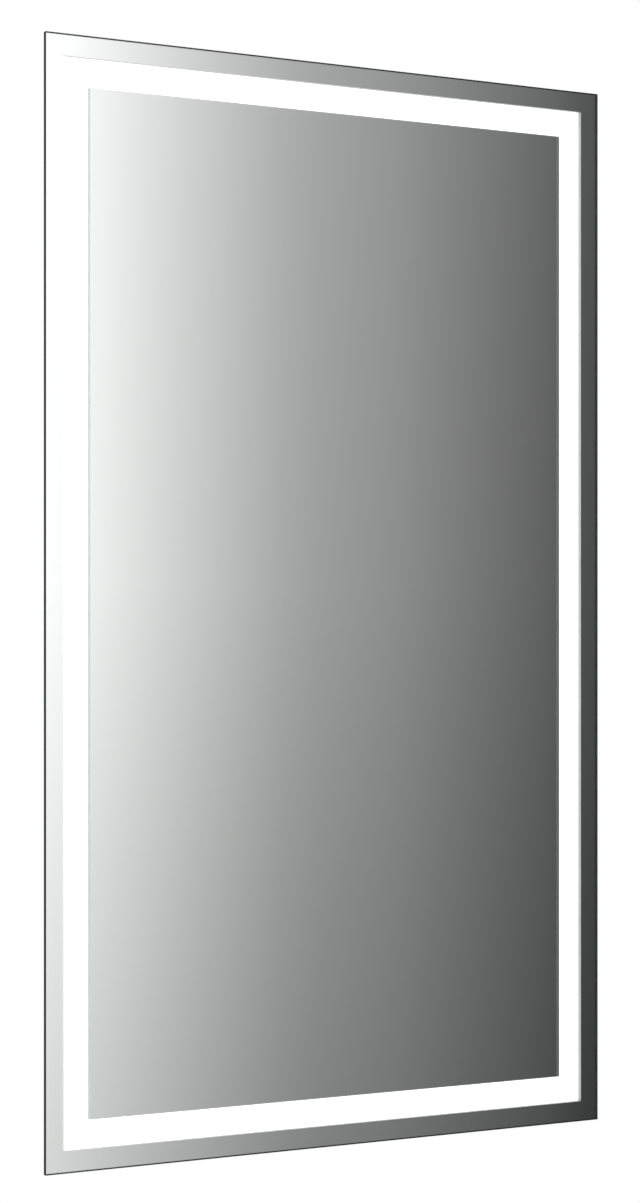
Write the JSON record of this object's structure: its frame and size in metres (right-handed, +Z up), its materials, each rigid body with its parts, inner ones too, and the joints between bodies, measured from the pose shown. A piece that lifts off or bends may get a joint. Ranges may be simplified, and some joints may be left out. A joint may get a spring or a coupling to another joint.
{
  "type": "lighted bathroom mirror",
  "caption": "Frameless upright wall mirror with a lit band set in all round its edge, hung on a hook rail, with its driver and wiring box behind.",
  "frame": {"origin": "on the wall plane, midway between the wall rail's screws, at the height of the screws", "axes": "+X to the right for someone who faces the mirror, +Y into the wall so that the mirror looks along -Y, +Z up"},
  "size_m": [0.6, 0.0407, 1],
  "materials": {
    "clear_glass": "clear float glass with dull, dark ground edges",
    "mirror_silver": "mirror silver seen through the glass",
    "backing_paint": "grey backing paint",
    "anodised_aluminium": "satin natural anodised extrusion",
    "zinc_steel": "bright zinc-plated sheet steel",
    "painted_steel": "fine-textured pale powder coat",
    "foam_tape": "black closed-cell foam tape",
    "opal_acrylic": "opal acrylic, lit from behind",
    "strip_board": "white flexible circuit board",
    "light_chip": "phosphor-filled light chip, lit",
    "jumper_wire": "white insulation",
    "black_rubber": "moulded black rubber",
    "white_plastic": "fine-textured white moulding",
    "board_green": "green solder mask",
    "board_part": "dark moulded and sleeved parts",
    "connector_plastic": "green nylon terminal",
    "brass": "bright turned brass",
    "bright_screw": "bright zinc-plated screw",
    "rivet_aluminium": "bright drawn aluminium",
    "live_brown": "brown insulation",
    "neutral_blue": "blue insulation",
    "earth_green": "green insulation with yellow stripes",
    "feed_red": "red insulation",
    "feed_black": "black insulation"
  },
  "bodies": {
    "wall_bracket": {"wall_rail": "zinc_steel"},
    "mirror": {"back_paint_border": "backing_paint", "back_paint_center": "backing_paint", "back_panel": "painted_steel", "back_panel_screws": "bright_screw", "bonding_tape_inner": "foam_tape", "bonding_tape_outer": "foam_tape", "bumper_left": "black_rubber", "bumper_right": "black_rubber", "bumper_screws": "bright_screw", "cable_grommet": "black_rubber", "corner_key_bottom_left": "zinc_steel", "corner_key_bottom_right": "zinc_steel", "corner_key_screws": "bright_screw", "corner_key_top_left": "zinc_steel", "corner_key_top_right": "zinc_steel", "diffuser": "opal_acrylic", "driver_board": "board_green", "driver_case": "white_plastic", "driver_connectors": "connector_plastic", "driver_lid": "white_plastic", "driver_parts": "board_part", "driver_screws": "bright_screw", "earth_lug": "brass", "earth_screw": "brass", "earth_wire": "earth_green", "feed_wire_minus": "feed_black", "feed_wire_plus": "feed_red", "frame_bottom": "anodised_aluminium", "frame_left": "anodised_aluminium", "frame_right": "anodised_aluminium", "frame_top": "anodised_aluminium", "hook_rail": "zinc_steel", "hook_rail_rivets": "rivet_aluminium", "light_chips_bottom": "light_chip", "light_chips_left": "light_chip", "light_chips_right": "light_chip", "light_chips_top": "light_chip", "light_strip_bottom": "strip_board", "light_strip_left": "strip_board", "light_strip_right": "strip_board", "light_strip_top": "strip_board", "live_wire": "live_brown", "mirror_glass": "clear_glass", "neutral_wire": "neutral_blue", "silver_border": "mirror_silver", "silver_center": "mirror_silver", "strip_jumpers": "jumper_wire", "terminal_block": "white_plastic", "terminal_screws": "brass", "wire_clip": "white_plastic", "wiring_box": "zinc_steel", "wiring_box_screws": "bright_screw", "wiring_cover": "painted_steel", "wiring_cover_screws": "bright_screw"}
  },
  "joints": [
    {"name": "lift_off", "type": "slide", "parent": "wall_bracket", "child": "mirror", "axis": [0, 0, 1], "range_m": [0, 0.016]}
  ]
}
